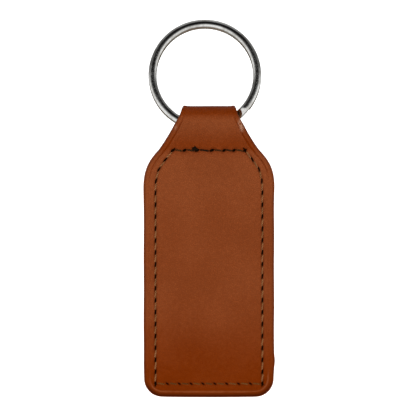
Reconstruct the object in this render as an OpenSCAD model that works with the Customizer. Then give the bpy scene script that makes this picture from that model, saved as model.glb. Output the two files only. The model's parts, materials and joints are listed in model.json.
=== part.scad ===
// Leather key fob on a split ring, in millimetres.
// The fob hangs: +Z is up, the front face looks towards -Y, and the origin is the top of the ring's inside,
// where a hook or a key would bear. The ring swings about a line through the leather loop, and the leather
// bends at the neck between the loop and the stitched tag.

/* [Split ring] */
// Outside diameter of the ring
ring_d = 30; // [27:0.5:36]
// Width of the wire across the ring, from its inside to its outside
wire_w = 2; // [1.6:0.1:2.4]
// Thickness of one coil of wire along the ring's axis
wire_t = 1.4; // [1:0.1:1.7]
// Gap between the two coils
coil_gap = 0.08; // [0.04:0.02:0.2]
// Flat taken off each corner of the wire
wire_chamfer = 0.35; // [0.1:0.05:0.45]
// Where the front coil starts to step back, in degrees counter-clockwise from +X
step_at = -40; // [-60:1:-30]
// Arc that the step from coil to coil takes, in degrees
step_arc = 22; // [18:1:30]
// Lean of the ring away from the front, in degrees
ring_lean = 8; // [0:1:20]
// How far the ring sits to the left of the tag's middle
ring_shift = 1.1; // [0:0.1:1.5]

/* [Leather] */
// Thickness of the leather
leather_t = 1.3; // [1:0.05:1.6]
// Width of the leather where it folds over the ring
fold_w = 14; // [11:0.5:17]
// Width of the leather across the tag
tag_w = 35; // [29:0.5:42]
// Length from the fold to the bottom edge
fob_l = 78.4; // [65:0.5:95]
// Depth below the fold at which the tag reaches its full width
shoulder_z = 22.5; // [20:0.5:27]
// Radius of the bottom corners
corner_r = 4.8; // [3:0.1:8]
// Half depth of the loop's inside at the swing axis, front to back
pocket_r = 3.45; // [3.4:0.05:4.2]
// Height of the loop's inside above the swing axis
pocket_h = 2.3; // [2.2:0.05:2.8]
// Farthest that the ring swings each way, in degrees
swing_max = 80; // [30:5:85]

/* [Tag filling and edges] */
// Thickness of the stiffening board
board_t = 1.6; // [1.2:0.1:2.4]
// How far the board stays inside the leather's edge
board_inset = 0.8; // [0.4:0.1:2]
// Thickness of the paint on the cut edges
coat_t = 0.15; // [0.1:0.05:0.3]
// Depth of the bending line below the fold
bend_z = 10.6; // [10:0.1:11]
// Clear gap round the bending line
bend_gap = 0.3; // [0.2:0.05:0.5]

/* [Stitching] */
// Distance from the edge of the leather to the stitches
stitch_inset = 3.1; // [2.5:0.1:4]
// Depth of the top row of stitches below the fold
stitch_top_z = 12; // [11.5:0.1:14]
// Wanted length of one stitch
stitch_l = 3.2; // [2.5:0.1:4.5]
// Diameter of the thread
thread_d = 0.5; // [0.35:0.05:0.65]
// How far the thread is pulled down below the face of the leather
thread_sink = 0.05; // [0.02:0.01:0.15]
// Room round each stitch in the dent that it presses into the leather
dent_room = 0.05; // [0.02:0.01:0.08]

/* [Hidden] */
$fn = 64;

steel = [0.78, 0.79, 0.8];
tan_leather = [0.5, 0.25, 0.12];
board_grey = [0.55, 0.5, 0.42];
tan_thread = [0.55, 0.33, 0.22];
dark_paint = [0.3, 0.1, 0.02];

ring_r = ring_d / 2;                          // outside radius of the ring
ring_in_r = ring_r - wire_w;                  // inside radius of the ring
ring_mid_r = ring_r - wire_w / 2;             // radius through the middle of the wire
coil_pitch = wire_t + coil_gap;               // from the middle of one coil to the middle of the other
ring_half_t = wire_t + coil_gap / 2;          // half of the ring's whole thickness
axis_rise = 1;                                // the swing axis above the lowest point inside the ring
swing_drop = ring_in_r - axis_rise;           // from the ring's middle down to the swing axis
end_gap = 2.5;                                // clear arc between a wire end and the step, in degrees
step_bars = 4;                                // straight bars that make the step
swing_clear = 0.2;                            // room round the swinging wire in the loop's side
sweep_end = ring_in_r - 0.1;                  // the swept space stops this far out, just inside the wire
sweep_margin = 22;                            // the wire's own half thickness, as an angle past the swing
side_steps = 12;                              // straight pieces in one round corner of the loop's side view

tag_t = 2 * leather_t + board_t;              // whole thickness of the tag
fold_top = pocket_h + leather_t;              // top of the fold, above the swing axis
bend_at = fold_top - bend_z;                  // height of the bending line, from the swing axis
knuckle_r = tag_t / 2;                        // the tag's rounded top, about the bending line
pocket_corner = pocket_r - pocket_h;          // centre of each round top corner of the pocket
sleeve_r = pocket_r + leather_t;              // outside radius of the loop below the swing axis
board_rise = 1;                               // the board ends this far above the top row of stitches
board_top = fold_top - stitch_top_z + board_rise;
neck_lean = 20;                               // slope of the neck's edge at the fold, in degrees
neck_pull = 16;                               // how far that slope carries on down the neck
shoulder_pull = 11;                           // how far the straight side carries on up the shoulder
neck_steps = 24;                              // straight pieces in the curve of one shoulder
corner_steps = 10;                            // straight pieces in one bottom corner
thread_r = thread_d / 2;
thread_y = knuckle_r - thread_sink - thread_r; // the middle of a stitch, out from the middle of the tag
dent_depth = thread_sink + thread_d + dent_room; // depth of the dent under a stitch
thread_facets = 24;
leg_inset = 0.8 * thread_d;                   // two threads share a needle hole, this far either side of it
lock_gap = 0.05;                              // the two threads meet at the middle of the tag
bottom_row_rise = 0.4;                        // the bottom row stays this much farther from its edge
neck_splay = 0.8;                             // how much the neck widens per unit of depth at the top row
big = 200;                                    // longer than anything here

// ---- outline of the leather, as seen from the front, with z measured from the swing axis ----

// A point on the curve of the right shoulder, t from 0 at the fold to 1 at the side
function neck_point(t) =
    let (p0 = [fold_w / 2, 0],
         p1 = p0 + neck_pull * [sin(neck_lean), cos(neck_lean)],
         p3 = [tag_w / 2, shoulder_z],
         p2 = p3 - [0, shoulder_pull],
         p = pow(1 - t, 3) * p0 + 3 * pow(1 - t, 2) * t * p1 + 3 * (1 - t) * t * t * p2 + pow(t, 3) * p3)
    [p[0], fold_top - p[1]];

// The way out of the leather at that point
function neck_out(t) =
    let (h = 0.001,
         along = neck_point(min(1, t + h)) - neck_point(max(0, t - h)))
    [-along[1], along[0]] / norm(along);

// The right edge from the fold down to the bottom corner's end, moved in by the distance e
function right_edge(e) = concat(
    [for (i = [0:neck_steps]) neck_point(i / neck_steps) - e * neck_out(i / neck_steps)],
    [for (i = [0:corner_steps])
        let (a = -90 * i / corner_steps)
        [tag_w / 2 - corner_r, fold_top - fob_l + corner_r] + (corner_r - e) * [cos(a), sin(a)]]);

function mirrored(path) = [for (i = [len(path) - 1:-1:0]) [-path[i][0], path[i][1]]];

function outline(e) = concat(right_edge(e), mirrored(right_edge(e)));

// ---- rows of stitches ----

function path_length(path, last) =
    last == 0 ? 0 : path_length(path, last - 1) + norm(path[last] - path[last - 1]);

// The point at a distance along a path
function point_along(path, dist, i = 1) =
    let (step = norm(path[i] - path[i - 1]))
    (dist <= step || i == len(path) - 1)
        ? path[i - 1] + (path[i] - path[i - 1]) * min(1, dist / step)
        : point_along(path, dist - step, i + 1);

// Needle holes evenly along a path, its two ends included
function holes_along(path) =
    let (whole = path_length(path, len(path) - 1),
         count = max(1, round(whole / stitch_l)))
    [for (i = [0:count]) point_along(path, whole * i / count)];

stitch_top = fold_top - stitch_top_z;
stitch_x = tag_w / 2 - stitch_inset;
stitch_bottom = fold_top - fob_l + stitch_inset + bottom_row_rise;
neck_row = [for (i = [0:neck_steps])
            let (p = neck_point(i / neck_steps) - stitch_inset * neck_out(i / neck_steps))
            if (p[1] <= stitch_top && p[1] > stitch_bottom) p];
row_start_x = neck_row[0][0] - (stitch_top - neck_row[0][1]) * neck_splay;
right_row = concat([[row_start_x, stitch_top]], neck_row, [[stitch_x, stitch_bottom]]);
rows = [holes_along([[-row_start_x, stitch_top], [row_start_x, stitch_top]]),
        holes_along(right_row),
        holes_along([[stitch_x, stitch_bottom], [-stitch_x, stitch_bottom]]),
        holes_along(mirrored(right_row))];

// ---- helpers ----

// Puts the fob's own frame, whose origin is the middle of the swing axis, in the part's frame
module in_place() {
    rise = swing_drop + ring_in_r;
    translate([ring_shift, -rise * sin(ring_lean), -rise * cos(ring_lean)]) children();
}

// A shape drawn in X and Z, given a thickness from y = near to y = far
module slab(points, near, far) {
    translate([0, far, 0]) rotate([90, 0, 0]) linear_extrude(far - near) polygon(points);
}

// A bar of round section along X
module rod_x(r, length, at_z = 0) {
    translate([-length / 2, 0, at_z]) rotate([0, 90, 0]) cylinder(h = length, r = r);
}

// Everything below the bending line, with the round top that turns about it
module below_bend() {
    translate([-big / 2, -big / 2, bend_at - big]) cube([big, big, big]);
    rod_x(knuckle_r, big, bend_at);
}

// One layer of the tag
module tag_layer(inset, near, far) {
    intersection() {
        slab(outline(inset), near, far);
        below_bend();
    }
}

// ---- split ring, in its own frame: axis along Z, front coil on top ----

module wire_section() {
    a = wire_w / 2;
    b = wire_t / 2;
    c = wire_chamfer;
    polygon([[a - c, -b], [a, -b + c], [a, b - c], [a - c, b], [-a + c, b], [-a, b - c], [-a, -b + c], [-a + c, -b]]);
}

// A length of coil from angle a0, counter-clockwise through the arc
module coil(a0, arc, height) {
    translate([0, 0, height]) rotate([0, 0, a0]) rotate_extrude(angle = arc)
        translate([ring_mid_r, 0]) wire_section();
}

// The step: short straight bars that run from the front coil back to the rear one, going clockwise
module step_back() {
    bar_arc = step_arc / step_bars;
    chord = 2 * ring_mid_r * sin(bar_arc / 2);
    drop = coil_pitch / step_bars;
    slope = atan2(drop, chord);
    overlap = 0.15;
    for (i = [0:step_bars - 1])
        rotate([0, 0, step_at - bar_arc * (i + 0.5)])
            translate([ring_mid_r * cos(bar_arc / 2), 0, coil_pitch / 2 - drop * (i + 0.5)])
                rotate([90 + slope, 0, 0])
                    translate([0, 0, -chord / 2 - overlap]) linear_extrude(chord + 2 * overlap) wire_section();
}

module ring_wire() {
    coil(step_at, 360 - step_arc - end_gap, coil_pitch / 2);
    coil(step_at + end_gap, 360 - step_arc - end_gap, -coil_pitch / 2);
    step_back();
}

// ---- leather loop ----

// Points on an arc about [y, 0] in the side view, from angle a0 to angle a1
function arc_points(y, r, a0, a1, count) =
    [for (i = [0:count]) let (a = a0 + (a1 - a0) * i / count) [y + r * cos(a), r * sin(a)]];

// The loop seen from its side, in Y and Z: a low arch over a round pocket that narrows to the neck.
// grow is 0 for the inside of the leather and its thickness for the outside.
function loop_side(grow) =
    let (low_r = pocket_r + grow,
         reach = norm([knuckle_r, bend_at]),
         slope = 90 - atan2(knuckle_r, -bend_at) - acos(sleeve_r / reach),
         tip = [low_r / cos(slope) + bend_at * tan(slope), bend_at],
         half = concat(arc_points(pocket_corner, pocket_h + grow, 90, 0, side_steps),
                       [for (p = arc_points(0, low_r, 0, -slope, side_steps / 2)) if (p[1] < 0) p],
                       [tip]))
    concat(half, mirrored(half));

// The space that the wire sweeps where it leaves the loop at the side, as a turned shape about X
module wire_sweep() {
    steps = 8;
    reach = swing_max + sweep_margin;
    profile = [for (i = [0:steps])
        let (x = fold_w / 2 + i * (sweep_end - fold_w / 2) / steps,
             up = swing_drop - sqrt(pow(ring_in_r, 2) - pow(x, 2)))
        [norm([up, ring_half_t]) + swing_clear, x]];
    for (side = [0, 1]) translate([-ring_shift, 0, 0]) mirror([side, 0, 0])
        rotate([0, 90, 0]) rotate([0, 0, 180 - reach]) rotate_extrude(angle = 2 * reach)
            polygon(concat([[0, fold_w / 2]], profile, [[0, sweep_end]]));
}

// ---- threads ----

// Puts a stitch that lies along +X, its first leg at the origin, between two needle holes
module between(from, to) {
    run = to - from;
    translate([from[0], 0, from[1]]) rotate([0, -atan2(run[1], run[0]), 0]) translate([leg_inset, 0, 0]) children();
}

// From one leg of a stitch to the other
function leg_span(from, to) = norm(to - from) - 2 * leg_inset;

// One stitch: a bar along the face and a leg down each of its two needle holes
module stitch(length) {
    translate([0, -thread_y, 0]) rotate([0, 90, 0]) cylinder(h = length, r = thread_r, $fn = thread_facets);
    for (x = [0, length]) translate([x, 0, 0]) {
        translate([0, -thread_y, 0]) sphere(r = thread_r, $fn = thread_facets);
        translate([0, -lock_gap, 0]) rotate([90, 0, 0])
            cylinder(h = thread_y - lock_gap, r = thread_r, $fn = thread_facets);
    }
}

// The dent in the leather that one stitch lies in
module dent(length) {
    half_w = thread_r + dent_room;
    translate([-half_w, -knuckle_r - dent_depth, -half_w]) cube([length + 2 * half_w, 2 * dent_depth, 2 * half_w]);
}

module stitch_rows() {
    for (row = rows) for (i = [0:len(row) - 2])
        between(row[i], row[i + 1]) stitch(leg_span(row[i], row[i + 1]));
}

module dent_rows() {
    for (row = rows) for (i = [0:len(row) - 2])
        between(row[i], row[i + 1]) dent(leg_span(row[i], row[i + 1]));
}

// ---- sub-parts ----

// One steel wire wound twice round, its coils joined by a step
module split_ring() {
    color(steel) in_place()
        rotate([-ring_lean, 0, 0]) translate([-ring_shift, 0, swing_drop]) rotate([90, 0, 0]) ring_wire();
}

// The neck of the leather strap, folded over the wire
module loop_leather() {
    color(tan_leather) in_place() difference() {
        intersection() {
            slab(outline(0), -sleeve_r, sleeve_r);
            rotate([90, 0, 90]) translate([0, 0, -tag_w / 2]) linear_extrude(tag_w) difference() {
                polygon(loop_side(leather_t));
                polygon(loop_side(0));
            }
        }
        rod_x(knuckle_r + bend_gap, big, bend_at);
        wire_sweep();
    }
}

// The front face of the tag, dented under its stitches
module front_leather() {
    color(tan_leather) in_place() difference() {
        tag_layer(0, -tag_t / 2, -board_t / 2);
        dent_rows();
    }
}

// The back face of the tag, dented under its stitches
module back_leather() {
    color(tan_leather) in_place() difference() {
        tag_layer(0, board_t / 2, tag_t / 2);
        mirror([0, 1, 0]) dent_rows();
    }
}

// The board glued between the two faces to keep the tag flat
module stiffener_board() {
    color(board_grey) in_place() intersection() {
        slab(outline(board_inset), -board_t / 2, board_t / 2);
        translate([-big / 2, -big / 2, board_top - big]) cube([big, big, big]);
    }
}

// The thread from the needle, which shows on the front
module needle_thread() {
    color(tan_thread) in_place() stitch_rows();
}

// The thread from the bobbin, which shows on the back
module bobbin_thread() {
    color(tan_thread) in_place() mirror([0, 1, 0]) stitch_rows();
}

// The paint that seals the cut edges of the tag
module edge_coat() {
    color(dark_paint) in_place() difference() {
        slab(outline(-coat_t), -tag_t / 2, tag_t / 2);
        slab(outline(0), -tag_t, tag_t);
        translate([-big / 2, -big / 2, bend_at - bend_gap]) cube([big, big, big]);
    }
}

split_ring();
loop_leather();
front_leather();
back_leather();
stiffener_board();
needle_thread();
bobbin_thread();
edge_coat();
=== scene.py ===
import json
import logging
import math
from dataclasses import dataclass
from enum import Enum
from typing import Callable, Sequence

import bmesh
import bpy
import numpy as np
from mathutils import Matrix, Vector


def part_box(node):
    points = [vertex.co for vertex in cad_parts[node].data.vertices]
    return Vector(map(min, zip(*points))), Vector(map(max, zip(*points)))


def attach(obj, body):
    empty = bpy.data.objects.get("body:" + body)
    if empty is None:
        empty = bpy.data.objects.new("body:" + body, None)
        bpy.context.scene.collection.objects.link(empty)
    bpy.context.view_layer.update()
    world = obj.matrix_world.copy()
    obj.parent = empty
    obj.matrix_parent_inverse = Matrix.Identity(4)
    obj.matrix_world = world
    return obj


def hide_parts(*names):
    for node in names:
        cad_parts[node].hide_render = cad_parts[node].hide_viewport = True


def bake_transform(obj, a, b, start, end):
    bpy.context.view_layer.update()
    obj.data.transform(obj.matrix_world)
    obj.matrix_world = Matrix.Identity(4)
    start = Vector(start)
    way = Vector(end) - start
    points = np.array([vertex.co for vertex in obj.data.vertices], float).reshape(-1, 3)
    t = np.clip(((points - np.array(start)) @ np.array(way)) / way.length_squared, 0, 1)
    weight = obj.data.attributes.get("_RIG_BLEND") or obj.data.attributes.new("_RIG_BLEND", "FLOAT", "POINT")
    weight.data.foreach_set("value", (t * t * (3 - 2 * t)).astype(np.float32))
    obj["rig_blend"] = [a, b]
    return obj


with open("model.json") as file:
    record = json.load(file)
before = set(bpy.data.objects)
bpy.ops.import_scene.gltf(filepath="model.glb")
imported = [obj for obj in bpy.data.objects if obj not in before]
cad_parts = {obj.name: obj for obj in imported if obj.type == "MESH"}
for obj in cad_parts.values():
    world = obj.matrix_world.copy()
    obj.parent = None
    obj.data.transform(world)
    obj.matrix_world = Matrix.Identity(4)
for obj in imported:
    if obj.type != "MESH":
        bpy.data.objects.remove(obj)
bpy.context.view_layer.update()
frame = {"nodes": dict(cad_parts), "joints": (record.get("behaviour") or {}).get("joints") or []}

MM = 0.001
LOG = logging.getLogger("key_fob")
Point = tuple[float, float]
Colour = tuple[float, float, float]


class Face(Enum):
    """Which broad face of the tag a row of stitches shows on."""

    FRONT = -1
    BACK = 1


class Row(Enum):
    """The rows of stitches, with the painted light on each row's thread: painted shade across the top, lit along the
    sides, in between along the bottom.
    """

    TOP = 0.15
    SIDE = 1.0
    BOTTOM = 0.5


def smooth(low: float, high: float, value: float) -> float:
    """A soft step from 0 at low to 1 at high.

    Args:
        low: Where the step starts.
        high: Where it ends.
        value: The place to read it.

    Returns:
        The height of the step there.
    """
    t = min(1.0, max(0.0, (value - low) / (high - low)))
    return t * t * (3 - 2 * t)


def bell(value: float, middle: float, width: float) -> float:
    """A bell-shaped swelling, 1 high at its middle."""
    return math.exp(-(((value - middle) / width) ** 2))


def arc(centre: Point, radius: float, start: float, end: float, steps: int) -> list[Point]:
    """Points along an arc.

    Args:
        centre: Its centre.
        radius: Its radius.
        start: Where it starts, in radians.
        end: Where it ends.
        steps: Number of steps.

    Returns:
        The points, both ends included.
    """
    turns = [start + (end - start) * i / steps for i in range(steps + 1)]
    return [(centre[0] + radius * math.cos(a), centre[1] + radius * math.sin(a)) for a in turns]


def linear(hex_code: str) -> Colour:
    """Turns a display colour into linear light.

    Args:
        hex_code: Six hexadecimal digits.

    Returns:
        Red, green and blue in linear light.
    """
    out = []
    for i in (0, 2, 4):
        c = int(hex_code[i : i + 2], 16) / 255
        out.append(c / 12.92 if c <= 0.04045 else ((c + 0.055) / 1.055) ** 2.4)
    return out[0], out[1], out[2]


@dataclass(frozen=True)
class FobSizes:
    """Sizes of the fob in millimetres, in its own frame.

    The origin is the middle of the ring's swing axis, +Z is up and the front looks towards -Y.
    """

    centre: Vector
    fold_top: float
    bottom: float
    half_width: float
    face: float
    board_half: float
    bend_at: float
    loop_r: float
    fold_half: float = 7.0
    shoulder_z: float = 22.5
    neck_lean: float = 20.0
    neck_pull: float = 16.0
    shoulder_pull: float = 11.0
    corner_r: float = 4.8
    stitch_inset: float = 3.1
    stitch_top_z: float = 12.0
    stitch_l: float = 3.2
    bottom_rise: float = 0.4
    sag: float = 0.12
    sag_half: float = 14.0
    top_drift: tuple[float, ...] = (0.0, -0.15, 0.0, 0.85, 0.9, 0.25, 0.0)

    @classmethod
    def from_frame(cls) -> "FobSizes":
        """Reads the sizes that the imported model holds.

        Returns:
            The sizes.
        """
        joints = {j["name"]: j for j in frame["joints"]}
        axis = Vector(joints["ring_swing"]["pos_m"]) / MM
        bend = Vector(joints["neck_bend"]["pos_m"]) / MM
        low, high = (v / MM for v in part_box("front_leather"))
        board_low, board_high = (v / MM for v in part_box("stiffener_board"))
        loop_low, loop_high = (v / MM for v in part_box("loop_leather"))
        centre = Vector(((low.x + high.x) / 2, axis.y, axis.z))
        return cls(
            centre=centre,
            fold_top=loop_high.z - axis.z,
            bottom=low.z - axis.z,
            half_width=(high.x - low.x) / 2,
            face=axis.y - low.y,
            board_half=(board_high.y - board_low.y) / 2,
            bend_at=bend.z - axis.z,
            loop_r=(loop_high.y - loop_low.y) / 2,
        )

    @property
    def leather_t(self) -> float:
        """Thickness of the leather."""
        return self.face - self.board_half

    @property
    def to_frame(self) -> Matrix:
        """Takes the fob's own millimetres to the part's metres."""
        return Matrix.Scale(MM, 4) @ Matrix.Translation(self.centre)

    def neck_point(self, t: float) -> Point:
        """A point on the right shoulder's curve.

        Args:
            t: 0 at the fold, 1 where the straight side starts.

        Returns:
            X and Z.
        """
        lean = math.radians(self.neck_lean)
        a, b, c, d = (1 - t) ** 3, 3 * (1 - t) ** 2 * t, 3 * (1 - t) * t * t, t**3
        x = a * self.fold_half + b * (self.fold_half + self.neck_pull * math.sin(lean)) + (c + d) * self.half_width
        depth = b * self.neck_pull * math.cos(lean) + c * (self.shoulder_z - self.shoulder_pull) + d * self.shoulder_z
        return x, self.fold_top - depth

    def half_at(self, z: float, side: int = 1) -> float:
        """Half the leather's width at a height, with the hand-cut wander of its sides.

        Args:
            z: The height.
            side: 1 for the right edge, -1 for the left.

        Returns:
            Distance from the middle to the edge.
        """
        depth = self.fold_top - z
        if depth >= self.shoulder_z:
            half = self.half_width
        else:
            lo, hi = 0.0, 1.0
            for _ in range(30):
                mid = (lo + hi) / 2
                if self.fold_top - self.neck_point(mid)[1] < depth:
                    lo = mid
                else:
                    hi = mid
            half = self.neck_point(lo)[0]
        half += 0.1 * bell(depth, 20.5, 4.0)
        half += 0.22 * bell(depth, 0.0, 1.8)
        half -= 0.2 * smooth(68.5, 77.0, depth)
        if side > 0:
            half += 0.18 * bell(depth, 68.8, 1.5)
        half += 0.03 * math.sin(depth * 0.37 + side) * smooth(3.0, 9.0, depth)
        return half

    def stitch_rows(self) -> list[tuple[Row, list[Point]]]:
        """The needle holes of each row, in order round the tag.

        Returns:
            Pairs of a row and its holes' X and Z.
        """
        top = self.fold_top - self.stitch_top_z
        low = self.bottom + self.stitch_inset + self.bottom_rise
        side_x = self.half_width - self.stitch_inset
        neck: list[Point] = []
        steps = 24
        for i in range(steps + 1):
            t = i / steps
            a, b = self.neck_point(max(0.0, t - 0.001)), self.neck_point(min(1.0, t + 0.001))
            along = Vector((b[0] - a[0], b[1] - a[1])).normalized()
            x, z = self.neck_point(t)
            x, z = x + self.stitch_inset * along.y, z - self.stitch_inset * along.x
            if z <= top:
                neck.append((x, z))
        start = neck[0][0] - (top - neck[0][1]) * 0.8
        right = [(start, top), *neck, (side_x, low)]
        left = [(-x, z) for x, z in reversed(right)]
        return [
            (Row.TOP, [(x + dx, z) for (x, z), dx in zip(self.holes([(-start, top), (start, top)]), self.top_drift)]),
            (Row.SIDE, self.holes(right)),
            (Row.BOTTOM, self.holes([(side_x, low), (-side_x, low)])),
            (Row.SIDE, self.holes(left)),
        ]

    def holes(self, path: Sequence[Point]) -> list[Point]:
        """Spaces needle holes evenly along a path.

        Args:
            path: Its corners.

        Returns:
            The holes, both ends included.
        """
        points = np.array(path, float)
        steps = np.linalg.norm(np.diff(points, axis=0), axis=1)
        along = np.concatenate([[0.0], np.cumsum(steps)])
        count = max(1, round(float(along[-1]) / self.stitch_l))
        places = np.linspace(0, along[-1], count + 1)
        return [
            (float(np.interp(p, along, points[:, 0])), float(np.interp(p, along, points[:, 1])))
            for p in places
        ]


# ---- shared mesh helpers ----


def finish_mesh(
    bm: bmesh.types.BMesh, name: str, place: Matrix, material: bpy.types.Material
) -> bpy.types.Object:
    """Makes a finished object of a bmesh, with its place in its mesh.

    Args:
        bm: The mesh, which is freed.
        name: Name of the piece.
        place: Takes the mesh's own units and frame to the part's.
        material: Its finish.

    Returns:
        The object, linked to the scene.
    """
    bmesh.ops.transform(bm, matrix=place, verts=bm.verts[:])
    bmesh.ops.recalc_face_normals(bm, faces=bm.faces[:])
    for f in bm.faces:
        f.smooth = len(f.verts) == 4
    mesh = bpy.data.meshes.new(name)
    bm.to_mesh(mesh)
    bm.free()
    mesh.materials.append(material)
    obj = bpy.data.objects.new(name, mesh)
    bpy.context.scene.collection.objects.link(obj)
    LOG.info("%s: %d faces", name, len(mesh.polygons))
    return obj


def sweep(
    bm: bmesh.types.BMesh, section: bmesh.types.BMFace, places: Sequence[Matrix]
) -> bmesh.types.BMFace:
    """Extrudes a face from place to place.

    Args:
        bm: The mesh that holds the face.
        section: The face, drawn about the origin in X and Y.
        places: Where it goes, the start included.

    Returns:
        The face at the far end.
    """
    bmesh.ops.transform(bm, matrix=places[0], verts=section.verts[:])
    first = section
    for before, after in zip(places, places[1:]):
        made = bmesh.ops.extrude_face_region(bm, geom=[section])
        if section is not first:
            bmesh.ops.delete(bm, geom=[section], context="FACES_ONLY")
        section = next(g for g in made["geom"] if isinstance(g, bmesh.types.BMFace))
        bmesh.ops.transform(bm, matrix=after @ before.inverted(), verts=section.verts[:])
    return section


def frame_at(place: Vector, ahead: Vector, out: Vector, turn: float = 0.0, size: float = 1.0) -> Matrix:
    """The matrix that stands a section at a place on a path.

    Args:
        place: The path's point.
        ahead: The way the path runs.
        out: The way the section's X looks.
        turn: Twist about the path, in radians.
        size: Scale of the section.

    Returns:
        The matrix.
    """
    z = ahead.normalized()
    x = (out - out.dot(z) * z).normalized()
    turned = Matrix((x, z.cross(x), z)).transposed().to_4x4()
    return Matrix.Translation(place) @ turned @ Matrix.Rotation(turn, 4, "Z") @ Matrix.Scale(size, 4)


# ---- finishes ----


class Nodes:
    """Adds and links shader nodes in one node tree."""

    def __init__(self, tree: bpy.types.NodeTree) -> None:
        """Keeps the node tree to fill."""
        self.tree = tree

    def add(self, kind: str, values: dict | None = None, **settings: object) -> bpy.types.Node:
        """Adds a node.

        Args:
            kind: Its type.
            values: Input values, or output sockets to link from, by input name or number.
            **settings: Properties of the node.

        Returns:
            The node.
        """
        node = self.tree.nodes.new(kind)
        for key, setting in settings.items():
            setattr(node, key, setting)
        for key, value in (values or {}).items():
            self.feed(node.inputs[key], value)
        return node

    def feed(self, socket: bpy.types.NodeSocket, value: object) -> None:
        """Links or sets one input.

        Args:
            socket: The input.
            value: An output socket to link, or a value.
        """
        if isinstance(value, bpy.types.NodeSocket):
            self.tree.links.new(value, socket)
        elif isinstance(value, tuple) and len(value) == 3 and socket.type == "RGBA":
            socket.default_value = (*value, 1.0)
        else:
            socket.default_value = value

    def maths(self, operation: str, *values: object, clamp: bool = False) -> bpy.types.NodeSocket:
        """The output of a Math node, clamped to 0 to 1 on request."""
        node = self.add("ShaderNodeMath", dict(enumerate(values)), operation=operation, use_clamp=clamp)
        return node.outputs[0]

    def mix(self, share: object, a: object, b: object, blend: str = "MIX") -> bpy.types.NodeSocket:
        """Mixes two colours.

        Args:
            share: How much of the second.
            a: The first colour.
            b: The second.
            blend: The way they mix.

        Returns:
            The mixed colour.
        """
        node = self.add("ShaderNodeMix", data_type="RGBA", blend_type=blend)
        for name, value in (("Factor_Float", share), ("A_Color", a), ("B_Color", b)):
            self.feed(next(s for s in node.inputs if s.identifier == name), value)
        return next(s for s in node.outputs if s.identifier == "Result_Color")

    def span(self, value: object, low: float, high: float, out_low: float = 0.0, out_high: float = 1.0,
             soft: bool = True) -> bpy.types.NodeSocket:
        """Remaps a value from one range to another, clamped.

        Args:
            value: The value.
            low: Start of its range.
            high: End of its range.
            out_low: What the start becomes.
            out_high: What the end becomes.
            soft: Whether the step eases in and out.

        Returns:
            The remapped value.
        """
        node = self.add(
            "ShaderNodeMapRange",
            {"Value": value, "From Min": low, "From Max": high, "To Min": out_low, "To Max": out_high},
            interpolation_type="SMOOTHSTEP" if soft else "LINEAR",
        )
        return node.outputs[0]

    def attribute(self, name: str, output: str = "Fac") -> bpy.types.NodeSocket:
        """Reads one of the piece's own attributes."""
        return self.add("ShaderNodeAttribute", attribute_type="GEOMETRY", attribute_name=name).outputs[output]

    def group(self, tree: bpy.types.NodeTree, values: dict) -> bpy.types.Node:
        """Places one of the shared groups."""
        return self.add("ShaderNodeGroup", values, node_tree=tree)

    def cloudy(self, effects: "Effects", *values: object) -> bpy.types.Node:
        """Places the cloudy mottling: its place, light and dark colours, broad and fine scales."""
        return self.group(effects.cloud, dict(zip(("Place", "Light", "Dark", "Broad", "Fine"), values)))

    def noise(self, place: bpy.types.NodeSocket, scale: object, detail: float) -> bpy.types.Node:
        """Adds a noise texture."""
        return self.add("ShaderNodeTexNoise", {"Vector": place, "Scale": scale, "Detail": detail})

    def bump(self, shader: bpy.types.Node, height: bpy.types.NodeSocket, strength: float, depth: float) -> None:
        """Gives a shader its relief, with the depth in metres."""
        relief = self.add("ShaderNodeBump", {"Height": height, "Strength": strength, "Distance": depth})
        self.feed(shader.inputs["Normal"], relief.outputs[0])

    def millimetres(self, stretch: Colour = (1.0, 1.0, 1.0)) -> bpy.types.NodeSocket:
        """Object coordinates in millimetres.

        Args:
            stretch: Extra scale along each axis.

        Returns:
            The coordinates.
        """
        place = self.add("ShaderNodeTexCoord")
        scale = tuple(1000.0 * s for s in stretch)
        mapped = self.add("ShaderNodeMapping", {"Vector": place.outputs["Object"], "Scale": scale})
        return mapped.outputs[0]


def new_group(name: str, inputs: Sequence[tuple[str, str, object]], outputs: Sequence[tuple[str, str]]) -> tuple[
    bpy.types.NodeTree, Nodes, bpy.types.Node, bpy.types.Node
]:
    """Starts a shader node group.

    Args:
        name: Its name.
        inputs: Name, socket type and default of each input.
        outputs: Name and socket type of each output.

    Returns:
        The group, its node helper, its input node and its output node.
    """
    tree = bpy.data.node_groups.new(name, "ShaderNodeTree")
    for label, kind, value in inputs:
        socket = tree.interface.new_socket(label, in_out="INPUT", socket_type=kind)
        if value is not None:
            socket.default_value = (*value, 1.0) if kind == "NodeSocketColor" else value
    for label, kind in outputs:
        tree.interface.new_socket(label, in_out="OUTPUT", socket_type=kind)
    nodes = Nodes(tree)
    return tree, nodes, nodes.add("NodeGroupInput"), nodes.add("NodeGroupOutput")


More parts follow.
